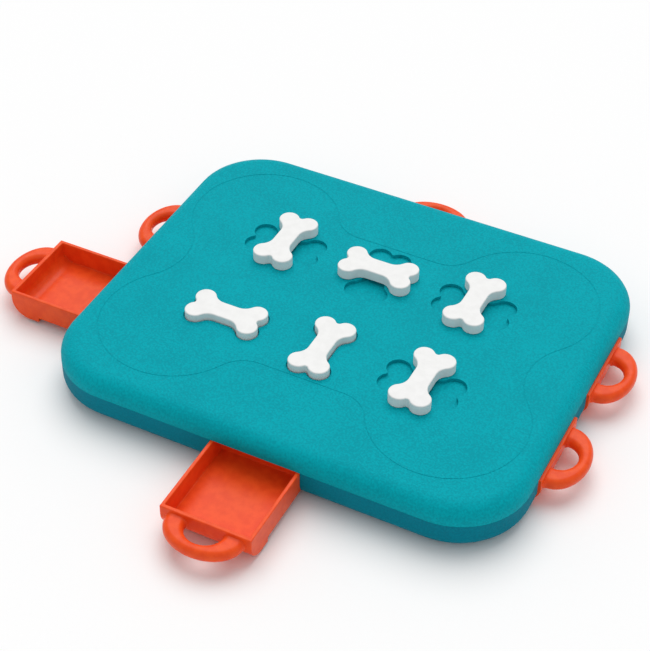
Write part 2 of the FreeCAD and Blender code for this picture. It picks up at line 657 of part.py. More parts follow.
def make_drawer(label, spot, pulled):
    body = new_body(label)
    half = d.drawer_wide / 2
    curve_x = d.drawer_proud - d.front_round
    curve_z = front_low + d.front_round

    outside = Drawing(body, label + "_side", plane="XZ_Plane", at=(0, 0, -half))
    corners = [(-d.drawer_deep, drawer_low), (-d.drawer_deep, rim_z), (d.drawer_proud, rim_z),
               (d.drawer_proud, curve_z), (curve_x, front_low), (-d.front_deep, front_low),
               (-d.front_deep, drawer_low)]
    side_profile(outside, corners, 3, d.front_round, (curve_x, curve_z))
    block = pad(body, label + "_block", outside, d.drawer_wide)
    round_edges(body, label + "_front_edges", block, d.drawer_edge,
                lambda p: near(p.x, d.drawer_proud) and near(abs(p.y), half))

    inner_r = d.front_round - d.drawer_front_wall
    inner_front = d.drawer_proud - d.drawer_front_wall
    inner_low = drawer_low + d.drawer_floor
    drop = curve_z - inner_low
    toe_x = curve_x + root(inner_r * inner_r - drop * drop)
    inner_back = d.drawer_side_wall - d.drawer_deep
    inner_half = half - d.drawer_side_wall
    over = rim_z + d.bite
    inside = Drawing(body, label + "_inside", plane="XZ_Plane", at=(0, 0, -inner_half))
    corners = [(inner_back, inner_low), (inner_back, over), (inner_front, over), (inner_front, curve_z),
               (toe_x, inner_low)]
    side_profile(inside, corners, 3, inner_r, (curve_x, curve_z))
    hollow = cut(body, label + "_hollow", inside, 2 * inner_half, forward=True)
    round_edges(body, label + "_inner_corners", hollow, d.drawer_corner,
                lambda p: near(p.x, inner_back) and near(abs(p.y), inner_half))

    core = Drawing(body, label + "_core", at=(0, 0, front_low))
    core.rectangle(d.core_wall - d.front_deep, curve_x + d.core_wall, d.core_wall - half, half - d.core_wall)
    cut(body, label + "_core_hollow", core, drawer_low - front_low, forward=True)

    tail_x = -d.bone_inset - d.tail_end
    tail = Drawing(body, label + "_tail", at=(0, 0, tail_z))
    tail.rectangle(tail_x, d.bite - d.drawer_deep, -d.tail_wide / 2, d.tail_wide / 2)
    pad(body, label + "_tail_plate", tail, d.tail_thick)
    ears = Drawing(body, label + "_ears", at=(0, 0, rim_z - d.bite))
    ears.rectangle(tail_x, tail_x + d.ear_thick, d.ear_out, d.ear_out + d.ear_wide)
    ears.rectangle(tail_x, tail_x + d.ear_thick, -d.ear_out - d.ear_wide, -d.ear_out)
    pad(body, label + "_ear_pads", ears, d.ear_high + d.bite)
    slot = Drawing(body, label + "_slot", at=(0, 0, rim_z + d.bite))
    slot.rectangle(tail_x - d.bite, -d.bone_inset, -d.tail_slot / 2, d.tail_slot / 2)
    cut(body, label + "_slot_cut", slot, d.tail_thick + 2 * d.bite)
    pocket = Drawing(body, label + "_pocket", at=(0, 0, rim_z + d.bite))
    pocket.circle(-d.bone_inset, 0, d.tail_pocket_r)
    cut(body, label + "_pocket_cut", pocket, d.tail_thick + 2 * d.bite)

    start_x = d.drawer_proud - d.handle_sink
    route = Drawing(body, label + "_handle_route", at=(0, 0, rim_z - d.handle_drop))
    handle_route(route, start_x)
    bar = Drawing(body, label + "_handle_bar", plane="YZ_Plane", at=(0, 0, start_x))
    bar.circle(-d.handle_half, rim_z - d.handle_drop, d.handle_bar)
    handle = body.newObject("PartDesign::AdditivePipe", label + "_handle")
    handle.Profile = bar.sketch
    handle.Spine = (route.sketch, [])
    doc.recompute()

    stand(body, spot, pulled)
    return body


def side_profile(drawing, corners, bend, radius, centre):
    """A closed outline of straight lines, with one arc between the corners bend and bend + 1."""
    count = len(corners)
    items = []
    for index in range(count):
        start, end = corners[index], corners[(index + 1) % count]
        if index == bend:
            spots = [[number_of(size) for size in spot] for spot in (centre, end, start)]
            items.append(drawing.arc(spots[0], radius.value, spots[1], spots[2]))
        else:
            items.append(drawing.line(start, end))
    for index in range(count):
        after = (index + 1) % count
        first_end = 1 if index == bend else 2
        second_end = 2 if after == bend else 1
        drawing.join((items[index], first_end), (items[after], second_end))
    for index, corner in enumerate(corners):
        drawing.pin(items[index], 2 if index == bend else 1, *corner)
    drawing.radius(items[bend], radius)


def handle_route(drawing, start_x):
    """The middle line of the D-shaped handle: two short legs, two side arcs and one wide front arc."""
    leg_x = d.drawer_proud + d.handle_leg
    side_r = d.handle_side_r
    depth = d.handle_reach - d.handle_bar - d.handle_leg
    offset = d.handle_half - side_r
    front_r = (offset * offset + depth * depth - side_r * side_r) / (2 * (depth - side_r))
    front_x = (leg_x + depth - front_r).value
    hub_x, hub_y, half = leg_x.value, offset.value, d.handle_half.value
    share = front_r.value / (front_r.value - side_r.value)
    meet = (front_x + share * (hub_x - front_x), share * hub_y)
    low_leg = drawing.line((start_x, -half), (hub_x, -half))
    low_arc = drawing.arc((hub_x, -hub_y), side_r.value, (hub_x, -half), (meet[0], -meet[1]))
    front = drawing.arc((front_x, 0), front_r.value, (meet[0], -meet[1]), meet)
    high_arc = drawing.arc((hub_x, hub_y), side_r.value, meet, (hub_x, half))
    high_leg = drawing.line((hub_x, half), (start_x, half))
    drawing.blend((low_leg, 2), (low_arc, 1))
    drawing.blend((low_arc, 2), (front, 1))
    drawing.blend((front, 2), (high_arc, 1))
    drawing.blend((high_arc, 2), (high_leg, 1))
    drawing.pin(low_leg, 1, start_x, -d.handle_half)
    drawing.pin(high_leg, 2, start_x, d.handle_half)
    for leg in (low_leg, high_leg):
        drawing.sketch.addConstraint(Sketcher.Constraint("Horizontal", leg))
    for side in (low_arc, high_arc):
        drawing.radius(side, side_r)
        drawing.size(Sketcher.Constraint("DistanceX", -1, 1, side, 3, hub_x), leg_x)
    drawing.radius(front, front_r)


# The bones: each lies along X in its own frame


def make_bone(number, spot):
    label = "bone_%d" % number
    body = new_body(label)
    low = plate_top + d.bone_rest_gap
    plan = Drawing(body, label + "_plan", at=(0, 0, low))
    plan.bone(d.bone_lobe_x, d.bone_lobe_y, d.bone_lobe_r, d.bone_waist, d.bone_neck_r, d.bone_end_x,
              Dim("0", 0))
    block = pad(body, label + "_block", plan, d.bone_thick)
    round_edges(body, label + "_upper_edge", block, d.bone_edge, lambda p: near(p.z, low + d.bone_thick))
    tip = rim_z + d.tongue_clear
    tongue = Drawing(body, label + "_tongue", at=(0, 0, tip))
    tongue.rectangle(-d.tongue_long / 2, d.tongue_long / 2, -d.tongue_thick / 2, d.tongue_thick / 2)
    pad(body, label + "_tongue_pad", tongue, low - tip + d.bite)
    along = OUTWARD[spot.side] % 180
    turn = along if spot.sunk else along + 90
    put(body, spot.x, spot.y, -d.recess_deep if spot.sunk else 0, turn)
    return body


# The bushes: a stepped ring with a slot, turned with its bone


def make_bush(number, spot):
    label = "lock_bush_%d" % number
    body = new_body(label)
    top = recess_z - d.bush_clear
    neck = top - d.bush_head_high
    snap_top = boss_z - d.bush_clear
    snap_low = snap_top - d.bush_snap_high
    levels = [("shank", snap_low, top, d.bush_r), ("head", neck, top, d.bush_head_r),
              ("snap", snap_low, snap_top, d.bush_snap_r)]
    for name, low, high, radius in levels:
        ring = Drawing(body, "%s_%s" % (label, name), at=(0, 0, low))
        ring.circle(0, 0, radius)
        pad(body, "%s_%s_pad" % (label, name), ring, high - low)
    slot = Drawing(body, label + "_slot", at=(0, 0, top))
    half_x = d.tongue_long / 2 + d.bush_clear
    half_y = d.tongue_thick / 2 + d.bush_clear
    slot.rectangle(-half_x, half_x, -half_y, half_y)
    cut(body, label + "_slot_cut", slot)
    along = OUTWARD[spot.side] % 180
    turn = along if spot.sunk else along + 90
    put(body, spot.x, spot.y, 0, turn)
    return body


# The screws, in one group, each a head with a cross and a shank


def solid(kind, name, spot, **sizes):
    made = doc.addObject(kind, name)
    for prop, size in sizes.items():
        tie(made, prop, size)
    for axis, size in zip("xyz", spot):
        tie(made, "Placement.Base." + axis, size)
    return made


def make_screws():
    seat = under_z + d.screw_head_deep
    head_low = seat - d.screw_head_high
    screws = []
    for index, (x, y) in enumerate(SCREWS, start=1):
        name = "screw_%d" % index
        head = solid("Part::Cylinder", name + "_head", (x, y, head_low), Radius=d.screw_head_r,
                     Height=d.screw_head_high)
        shank = solid("Part::Cylinder", name + "_shank", (x, y, seat - d.bite), Radius=d.screw_r,
                      Height=d.screw_long + d.bite)
        arms = []
        for arm, (long, wide) in enumerate(((d.screw_cross_long, d.screw_cross_wide),
                                            (d.screw_cross_wide, d.screw_cross_long))):
            corner = (x - long / 2, y - wide / 2, head_low - d.bite)
            arms.append(solid("Part::Box", "%s_arm_%d" % (name, arm), corner, Length=long, Width=wide,
                              Height=d.screw_cross_deep + d.bite))
        whole = doc.addObject("Part::MultiFuse", name + "_body")
        whole.Shapes = [head, shank]
        cross = doc.addObject("Part::MultiFuse", name + "_cross")
        cross.Shapes = arms
        screw = doc.addObject("Part::Cut", name)
        screw.Base = whole
        screw.Tool = cross
        screws.append(screw)
    group = doc.addObject("Part::Compound", "case_screws")
    group.Label = "case_screws"
    group.Links = screws
    doc.recompute()
    return group


# The rubber feet


def make_foot(label, x, y):
    body = new_body(label)
    plan = Drawing(body, label + "_plan")
    plan.circle(0, 0, d.foot_r)
    high = d.foot_proud + d.foot_sunk
    block = pad(body, label + "_block", plan, high)
    round_edges(body, label + "_edge", block, d.foot_edge, lambda p: near(p.z, 0))
    put(body, x, y)
    return body


# The whole toy

parts = [make_cover(), make_base()]
for number, spot in BONES.items():
    parts.append(make_guide("guide_" + spot.bay, spot))
    parts.append(make_drawer("drawer_" + spot.bay, spot, spot.pulled))
    parts.append(make_bone(number, spot))
    parts.append(make_bush(number, spot))
parts.append(make_screws())
for label, (x, y) in FEET.items():
    parts.append(make_foot(label, x, y))
doc.recompute()

# Every object has to be sound before anything is written

for item in doc.Objects:
    if "Invalid" in item.State or "Error" in item.State:
        raise RuntimeError("%s is not sound: %s" % (item.Name, item.State))
for part in parts:
    if part.Shape.isNull() or not part.Shape.isValid():
        raise RuntimeError(part.Label + " has no valid shape")
    part.Shape.exportStep("parts/%s.step" % part.Label)
    box = part.Shape.BoundBox
    print("%-20s %3d solid(s) %9.0f mm3  x %.1f %.1f  y %.1f %.1f  z %.1f %.1f" % (
        part.Label, len(part.Shape.Solids), part.Shape.Volume,
        box.XMin, box.XMax, box.YMin, box.YMax, box.ZMin, box.ZMax))
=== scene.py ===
# %% [markdown]
# # A dog's puzzle feeder
# The toy is a low moulded plate with drawers in all four sides and a bone-shaped block over each drawer.
# A dog turns or lifts a bone with its nose and pulls the drawer under it out by its handle.
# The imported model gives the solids, in metres, with the plate's middle at the origin, X along it and Z up.
# Everything below is placed in that same frame, so nothing has to be fitted by eye.

# %% Load the solids
import math

import bmesh
import bpy
from mathutils import Matrix, Vector


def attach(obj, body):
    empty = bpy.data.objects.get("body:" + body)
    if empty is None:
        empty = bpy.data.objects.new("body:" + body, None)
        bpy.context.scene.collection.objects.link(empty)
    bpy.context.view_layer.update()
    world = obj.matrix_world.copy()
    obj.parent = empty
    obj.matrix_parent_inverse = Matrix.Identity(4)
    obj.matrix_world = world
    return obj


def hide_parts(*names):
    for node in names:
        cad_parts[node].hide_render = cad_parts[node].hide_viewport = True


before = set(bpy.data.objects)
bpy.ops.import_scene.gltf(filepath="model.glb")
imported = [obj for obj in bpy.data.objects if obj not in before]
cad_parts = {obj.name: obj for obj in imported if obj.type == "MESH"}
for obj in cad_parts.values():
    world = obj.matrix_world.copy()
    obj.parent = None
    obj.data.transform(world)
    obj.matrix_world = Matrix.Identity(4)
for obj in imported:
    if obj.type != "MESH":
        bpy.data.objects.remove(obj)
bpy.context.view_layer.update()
MM = 0.001

# %% [markdown]
# ## Sums and products in a material
# A material is a web of small nodes. Written out one by one, a sum takes four lines and hides what it
# means. A small class that wraps a node's output lets Python's own signs add the Math nodes, so that
# `0.5 + grain * 0.1` reads as what it is. Plain numbers stay in Python.

# %% A number that changes over a surface


class Reading:
    """A number from a node. Python's signs on it add Math nodes to its finish."""

    def __init__(self, finish, socket):
        self.finish = finish
        self.socket = socket

    def _join(self, operation, first, second):
        settings = {"operation": operation}
        return self.finish.add("ShaderNodeMath", settings, {0: first, 1: second})["Value"]

    def __add__(self, other):
        return self._join("ADD", self, other)

    def __radd__(self, other):
        return self._join("ADD", other, self)

    def __mul__(self, other):
        return self._join("MULTIPLY", self, other)

    def __rmul__(self, other):
        return self._join("MULTIPLY", other, self)


print("sums and products:", Reading.__name__)

# %% [markdown]
# ## A finish
# Each plastic on the toy is one Principled shader with a few patterns in front of it. The class below
# keeps the material together: `add` makes any node with its settings first and its sockets after,
# `blend` mixes two colours, and `bump` turns a height into a normal. All patterns read Object
# coordinates, which are metres here, so a scale of 1000 gives spots of about a millimetre on every piece.

# %% A finish built from nodes


class Finish:
    """One material: its nodes and the shader they end in."""

    def __init__(self, name, **constants):
        self.material = bpy.data.materials.new(name)
        self.material.use_nodes = True
        self.tree = self.material.node_tree
        self.shader = self.tree.nodes["Principled BSDF"]
        for socket, value in constants.items():
            self.shader.inputs[socket.replace("_", " ")].default_value = value
        self.place = self.add("ShaderNodeTexCoord", {}, {})["Object"]

    def add(self, kind, settings, sockets):
        """Add a node, set it up, fill its sockets, and give back its outputs by name."""
        node = self.tree.nodes.new(kind)
        for name, value in settings.items():
            setattr(node, name, value)
        for name, value in sockets.items():
            if isinstance(value, Reading):
                self.tree.links.new(value.socket, node.inputs[name])
            else:
                node.inputs[name].default_value = value
        return {output.name: Reading(self, output) for output in node.outputs if output.enabled}

    def spots(self, scale, detail, rough=0.5):
        """Soft random spots between 0 and 1."""
        sockets = {"Vector": self.place, "Scale": scale, "Detail": detail, "Roughness": rough}
        return self.add("ShaderNodeTexNoise", {}, sockets)["Fac"]

    def band(self, value, low, high):
        """0 below low, 1 above high, and smooth between them."""
        settings = {"interpolation_type": "SMOOTHSTEP"}
        sockets = {"Value": value, "From Min": low, "From Max": high}
        return self.add("ShaderNodeMapRange", settings, sockets)["Result"]

    def blend(self, share, first, second):
        """The first colour where share is 0, and the second where it is 1."""
        sockets = {"Factor": share, "A": first, "B": second}
        return self.add("ShaderNodeMix", {"data_type": "RGBA"}, sockets)["Result"]

    def bump(self, height, deep):
        """A normal from a height between 0 and 1 that stands for that many millimetres."""
        sockets = {"Height": height, "Distance": deep * MM, "Strength": 1.0}
        return self.add("ShaderNodeBump", {}, sockets)["Normal"]

    def feed(self, **readings):
        """Link readings to the shader's own sockets."""
        for socket, reading in readings.items():
            self.tree.links.new(reading.socket, self.shader.inputs[socket.replace("_", " ")])
        return self.material


def shade(red, green, blue):
    """A colour with its alpha."""
    return (red, green, blue, 1.0)


def layered(broad, fine, share):
    """Broad spots with a share of fine ones in them."""
    return broad * (1 - share) + fine * share


print("finishes are built from", Finish.__name__, "and", Reading.__name__)

# %% [markdown]
# ## The plate's plastic
# The cover is a matte teal plastic with a fine leathery grain from its mould. The base below is the same
# plastic, but it is written in darker tones that paint the shade on its side walls. A smooth flat teal
# would look like paper. The finish gets three layers instead: soft clouds a few centimetres wide that vary
# the colour slightly, a pebbled grain of one or two millimetres, and tiny pits on top of it. The grain
# also makes the plastic a little rougher where it is high. The bushes turn under the bones and are rubbed
# smooth, so their grain is the shallowest.

# %% Teal plastic
# spots along a metre, shares of the finer layer, and what the pebbles add to the roughness
CLOUDS, PEBBLES, PITS = 22, 620, 1900
PEBBLES_IN_COLOUR, PITS_IN_GRAIN = 0.75, 0.3
PEBBLE_ROUGH = 0.12


def grained_plastic(name, deep_tone, light_tone, rough, grain_mm):
    """A matte moulded plastic between two tones of one colour."""
    finish = Finish(name, IOR=1.46, Specular_IOR_Level=0.06)
    clouds = finish.spots(CLOUDS, detail=3.0, rough=0.55)
    pebbles = finish.spots(PEBBLES, detail=2.0, rough=0.55)
    pits = finish.spots(PITS, detail=1.0)
    share = finish.band(layered(clouds, pebbles, PEBBLES_IN_COLOUR), low=0.38, high=0.62)
    colour = finish.blend(share, shade(*deep_tone), shade(*light_tone))
    height = finish.band(layered(pebbles, pits, PITS_IN_GRAIN), low=0.3, high=0.7)
    normal = finish.bump(height, grain_mm)
    return finish.feed(Base_Color=colour, Roughness=rough + PEBBLE_ROUGH * pebbles, Normal=normal)


cover_plastic = grained_plastic("cover teal plastic", (0.0, 0.322, 0.388), (0.0, 0.402, 0.472),
                                rough=0.55, grain_mm=0.16)
# the base's darker tones are painted shade: its side walls get less light than the cover's top
base_plastic_painted_shade = grained_plastic("base teal plastic with painted shade", (0.0, 0.178, 0.250), (0.0, 0.222, 0.304),
                               rough=0.55, grain_mm=0.12)
bush_plastic = grained_plastic("bush teal plastic", (0.0, 0.295, 0.360), (0.0, 0.340, 0.410),
                               rough=0.46, grain_mm=0.04)
print("plate finishes:", cover_plastic.name, base_plastic_painted_shade.name, bush_plastic.name)

# %% [markdown]
# ## The drawers' and bones' plastic
# The drawers are a glossier red-orange plastic, and the bones a white one with less shine. Their skin is
# nearly smooth, with the faint ripple that a mould leaves, so the lights show as soft streaks along the
# handles. The ripple is much wider than the plate's grain and only hundredths of a millimetre deep.

# %% Red-orange and white plastic
# spots along a metre, shares of the finer layer, and what the haze adds to the roughness
RIPPLE, HAZE = 150, 1400
HAZE_IN_COLOUR, HAZE_IN_RIPPLE = 0.3, 0.2
HAZE_ROUGH = 0.1


def satin_plastic(name, deep_tone, light_tone, rough, ripple_mm):
    """A smooth moulded plastic with a faint ripple and a fine haze."""
    finish = Finish(name, IOR=1.49, Specular_IOR_Level=0.2)
    ripple = finish.spots(RIPPLE, detail=2.0, rough=0.45)
    haze = finish.spots(HAZE, detail=1.0)
    share = finish.band(layered(ripple, haze, HAZE_IN_COLOUR), low=0.36, high=0.64)
    colour = finish.blend(share, shade(*deep_tone), shade(*light_tone))
    normal = finish.bump(layered(ripple, haze, HAZE_IN_RIPPLE), ripple_mm)
    return finish.feed(Base_Color=colour, Roughness=rough + HAZE_ROUGH * haze, Normal=normal)


drawer_plastic = satin_plastic("drawer orange plastic", (0.86, 0.072, 0.010), (0.93, 0.096, 0.014),
                               rough=0.26, ripple_mm=0.04)
bone_plastic = satin_plastic("bone white plastic", (0.86, 0.86, 0.85), (0.90, 0.90, 0.89),
                             rough=0.42, ripple_mm=0.06)
print("block and drawer finishes:", drawer_plastic.name, bone_plastic.name)

# %% [markdown]
# ## Rubber and steel
# The feet and screws are only seen from below. The rubber is nearly black, with a chalky bloom in
# patches. The screws are plated steel whose heads were turned on a lathe, which leaves rings far finer
# than a millimetre. At this size a very fine noise reads the same and works for all twelve at once.

# %% Foot rubber and screw steel
# for each: spots along a metre, least roughness, what the fine spots add to it, and their depth
BLOOM, GRIT = 90, 1500
RUBBER_ROUGH, GRIT_ROUGH, GRIT_MM = 0.7, 0.15, 0.08
TURNING, PLATING = 2600, 300
STEEL_ROUGH, TURNED_ROUGH, TURNED_MM = 0.28, 0.22, 0.02


def foot_rubber_finish():
    finish = Finish("foot rubber", IOR=1.5, Specular_IOR_Level=0.3)
    bloom = finish.band(finish.spots(BLOOM, detail=4.0, rough=0.6), low=0.4, high=0.7)
    grit = finish.spots(GRIT, detail=2.0)
    colour = finish.blend(bloom, shade(0.022, 0.022, 0.024), shade(0.05, 0.05, 0.052))
    roughness = RUBBER_ROUGH + GRIT_ROUGH * grit
    return finish.feed(Base_Color=colour, Roughness=roughness, Normal=finish.bump(grit, GRIT_MM))


def screw_steel_finish():
    finish = Finish("screw steel", Metallic=1.0)
    turned = finish.spots(TURNING, detail=2.0, rough=0.7)
    plating = finish.spots(PLATING, detail=2.0)
    colour = finish.blend(plating, shade(0.52, 0.52, 0.53), shade(0.66, 0.66, 0.67))
    roughness = STEEL_ROUGH + TURNED_ROUGH * turned
    return finish.feed(Base_Color=colour, Roughness=roughness, Normal=finish.bump(turned, TURNED_MM))


foot_rubber = foot_rubber_finish()
screw_steel = screw_steel_finish()
print("hidden finishes:", foot_rubber.name, screw_steel.name)

# %% [markdown]
# ## Dressing the solids
# The cover, base, guides, bushes, bones, feet and screws already have their right shapes, so they keep
# their meshes and only get a finish each. Their names say what they are, and one table says which finish
# that is. The guides inside the plate are moulded in the base's plastic.

# %% Finishes on the solids
FINISH_OF = {
    "top_cover": cover_plastic,
    "base_tray": base_plastic_painted_shade,
    "guide": base_plastic_painted_shade,
    "lock_bush": bush_plastic,
    "bone": bone_plastic,
    "drawer": drawer_plastic,
    "foot": foot_rubber,
    "case_screws": screw_steel,
}


def dress(piece, finish):
    """Give a piece one finish all over."""
    piece.data.materials.clear()
    piece.data.materials.append(finish)


for name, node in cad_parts.items():
    kind = next(start for start in FINISH_OF if name.startswith(start))
    dress(node, FINISH_OF[kind])
print("dressed", len(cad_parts), "solids of", len(FINISH_OF), "kinds")

# %% [markdown]
# ## Working by hand, in code
# The drawers get new shapes, because their rims, handles and inner corners are rounder on the real toy
# than a plain solid shows. They are modelled as by hand: a primitive, then edit mode. In edit mode every
# operator acts on what is selected, so one helper clears the selection and another picks faces, edges or
# points by where they are. All their sizes are in millimetres.

# %% Helpers that make and select


def fresh():
    """Leave edit mode with nothing selected."""
    if bpy.context.object and bpy.context.object.mode != "OBJECT":
        bpy.ops.object.mode_set(mode="OBJECT")
    bpy.ops.object.select_all(action="DESELECT")


def choose(piece):
    """Leave edit mode with one piece selected and active."""
    fresh()
    piece.select_set(True)
    bpy.context.view_layer.objects.active = piece


def block(name, low, high):
    """A box between two corners, left in edit mode."""
    fresh()
    bpy.ops.mesh.primitive_cube_add(size=MM)
    box = bpy.context.object
    box.name = name
    bpy.ops.object.mode_set(mode="EDIT")
    span = [top - bottom for bottom, top in zip(low, high)]
    bpy.ops.transform.resize(value=span)
    bpy.ops.transform.translate(value=[(top + bottom) / 2 * MM for bottom, top in zip(low, high)])
    return box


def pick(piece, kind, test):
    """Select the faces, edges or verts of a piece that pass the test.

    A face is tested by its middle and its normal, an edge by its two ends and a vert by its place.
    """
    bpy.ops.mesh.select_mode(type={"faces": "FACE", "edges": "EDGE", "verts": "VERT"}[kind])
    bpy.ops.mesh.select_all(action="DESELECT")
    mesh = bmesh.from_edit_mesh(piece.data)
    for item in getattr(mesh, kind):
        if kind == "faces":
            chosen = test(item.calc_center_median() / MM, item.normal)
        elif kind == "edges":
            chosen = test(*[end.co / MM for end in item.verts])
        else:
            chosen = test(item.co / MM)
        item.select_set(chosen)
    mesh.select_flush_mode()
    bmesh.update_edit_mesh(piece.data)


def near(a, b, slack=0.02):
    return abs(a - b) < slack


def edge_across(x, z):
    """A test for the edges that run across a drawer, at that place along it and that height."""
    return lambda a, b: near(a.x, x) and near(b.x, x) and near(a.z, z) and near(b.z, z)


print("pieces start as a", block.__name__, "and change where they pass", pick.__name__)

# %% [markdown]
# ## Strokes
# Four strokes shape a drawer: what is selected is shifted, pulled out into new walls or rounded off, and
# a finished piece is softened on all its sharp edges. Pieces are then joined, or cut out of each other,
# with an exact boolean, which keeps one closed mesh.

# %% Helpers that shape and join
SHARP_ANGLE = 35
QUARTER_CIRCLE = 0.5


def shift(x=0.0, y=0.0, z=0.0):
    """Move what is selected."""
    bpy.ops.transform.translate(value=(x * MM, y * MM, z * MM))


def pull(x=0.0, y=0.0, z=0.0):
    """Extrude what is selected."""
    bpy.ops.mesh.extrude_region_move(TRANSFORM_OT_translate={"value": (x * MM, y * MM, z * MM)})


def round_off(wide, steps):
    """Round the selected edges."""
    bpy.ops.mesh.bevel(offset=wide * MM, segments=steps, profile=QUARTER_CIRCLE)


def soften(piece, wide, steps):
    """Round every sharp edge of a piece."""
    choose(piece)
    rounding = piece.modifiers.new("rounding", "BEVEL")
    rounding.width = wide * MM
    rounding.segments = steps
    rounding.limit_method = "ANGLE"
    rounding.angle_limit = math.radians(SHARP_ANGLE)
    bpy.ops.object.modifier_apply(modifier=rounding.name)


def combine(piece, other, how="UNION"):
    """Join another piece to this one, or cut it away, and keep one closed mesh."""
    choose(piece)
    change = piece.modifiers.new(how.lower(), "BOOLEAN")
    change.operation = how
    change.solver = "EXACT"
    change.object = other
    bpy.ops.object.modifier_apply(modifier=change.name)
    bpy.data.objects.remove(other)


print("edges over", SHARP_ANGLE, "degrees count as sharp")

# %% [markdown]
# ## The drawer's box
# A drawer is a shallow tray whose front wall curves under at the bottom, where it closes the plate's
# rounded edge. It is drawn once, pointing along X, with the plate's edge at X = 0. A box is split where
# the low front part begins, that part is pulled down, and the front's lower edge gets its large rounding
# as a bevel. An inset of the low part's underside is pushed up, so that it is not one thick lump.
# The hollow is an inset of the top that is pushed down to the floor, with a bevel where the front runs
# into it.

# %% The tray of a drawer
# half the width; along X the rear, the start of the low front part and the front face
HALF = 38.5
BACK, STEP, FRONT = -88.0, -23.0, 2.5
# heights of the rim, the inner floor, the underside and the underside of the low front part
RIM, FLOOR, SHELF, LOW = 27.2, 8.5, 6.5, 2.2
SIDE_WALL, FRONT_WALL, CORE_WALL = 3.0, 3.4, 2.2
# roundings: under the front, inside where the floor meets the front, and of all the sharp edges
FRONT_ROUND, FRONT_STEPS = 16.0, 14
INNER_ROUND, INNER_STEPS = 9.7, 10
RIM_ROUND, RIM_STEPS = 0.7, 3
# the share of a face's normal that lies along an axis, for a face that roughly or exactly faces it
FACING, SQUARE = 0.9, 0.999
# a point that is this far from an edge of the tray is clearly inside it
INSIDE = 1.0


def make_tray():
    tray = block("drawer_tray", (BACK, -HALF, SHELF), (FRONT, HALF, RIM))
    bpy.ops.mesh.select_all(action="SELECT")
    bpy.ops.mesh.bisect(plane_co=(STEP * MM, 0, 0), plane_no=(1, 0, 0))
    pick(tray, "faces", lambda spot, facing: facing.z < -FACING and spot.x > STEP)
    pull(z=LOW - SHELF)
    pick(tray, "edges", lambda a, b: near(a.z, SHELF) and near(b.z, SHELF)
         and max(a.x, b.x) > STEP + INSIDE)
    bpy.ops.mesh.dissolve_edges()
    pick(tray, "edges", edge_across(FRONT, LOW))
    round_off(FRONT_ROUND, FRONT_STEPS)
    pick(tray, "faces", lambda spot, facing: facing.z < -SQUARE and near(spot.z, LOW))
    bpy.ops.mesh.inset(thickness=CORE_WALL * MM)
    shift(z=SHELF - LOW)
    pick(tray, "faces", lambda spot, facing: facing.z > FACING and near(spot.z, RIM))
    bpy.ops.mesh.inset(thickness=SIDE_WALL * MM)
    pick(tray, "verts", lambda spot: near(spot.z, RIM) and near(spot.x, FRONT - SIDE_WALL)
         and abs(spot.y) < HALF - INSIDE)
    shift(x=SIDE_WALL - FRONT_WALL)
    pick(tray, "faces", lambda spot, facing: facing.z > FACING and near(spot.z, RIM)
         and abs(spot.y) < HALF - SIDE_WALL and BACK + SIDE_WALL < spot.x < FRONT - FRONT_WALL)
    pull(z=FLOOR - RIM)
    pick(tray, "edges", edge_across(FRONT - FRONT_WALL, FLOOR))
    round_off(INNER_ROUND, INNER_STEPS)
    soften(tray, RIM_ROUND, RIM_STEPS)
    return tray


tray = make_tray()
print("tray:", len(tray.data.polygons), "faces")

# %% [markdown]
# ## The handle
# Seen from above the handle is a D: wide, with a smaller round hole, so it is broad where it leaves the
# front and slim at its tip. A ring of edges is widened into a band, half of it is cut away at the
# drawer's front, the band gets its thickness, and its long edges are bevelled until the bar is round.
# Its two ends flare where they run into the front, as a moulded joint does.

# %% The handle of a drawer
# half the width and the reach from the front, of the handle and of its hole
HANDLE_HALF, HANDLE_REACH = 32.6, 25.0
HOLE_HALF, HOLE_REACH = 15.5, 14.9
HANDLE_Z, HANDLE_THICK = 18.3, 11.0
HANDLE_ROUND, HANDLE_STEPS = 5.1, 7
# a flared end: its length, how much wider it gets, and how deep it and its root go into the front
FLARE_LONG, FLARE_WIDE = 1.6, 1.12
SUNK, ROOT_DEEP = 0.3, 1.5
RING_POINTS = 96
# the ends of a long edge lie equally far out on the ring, to within this
RING_SLACK = 0.08


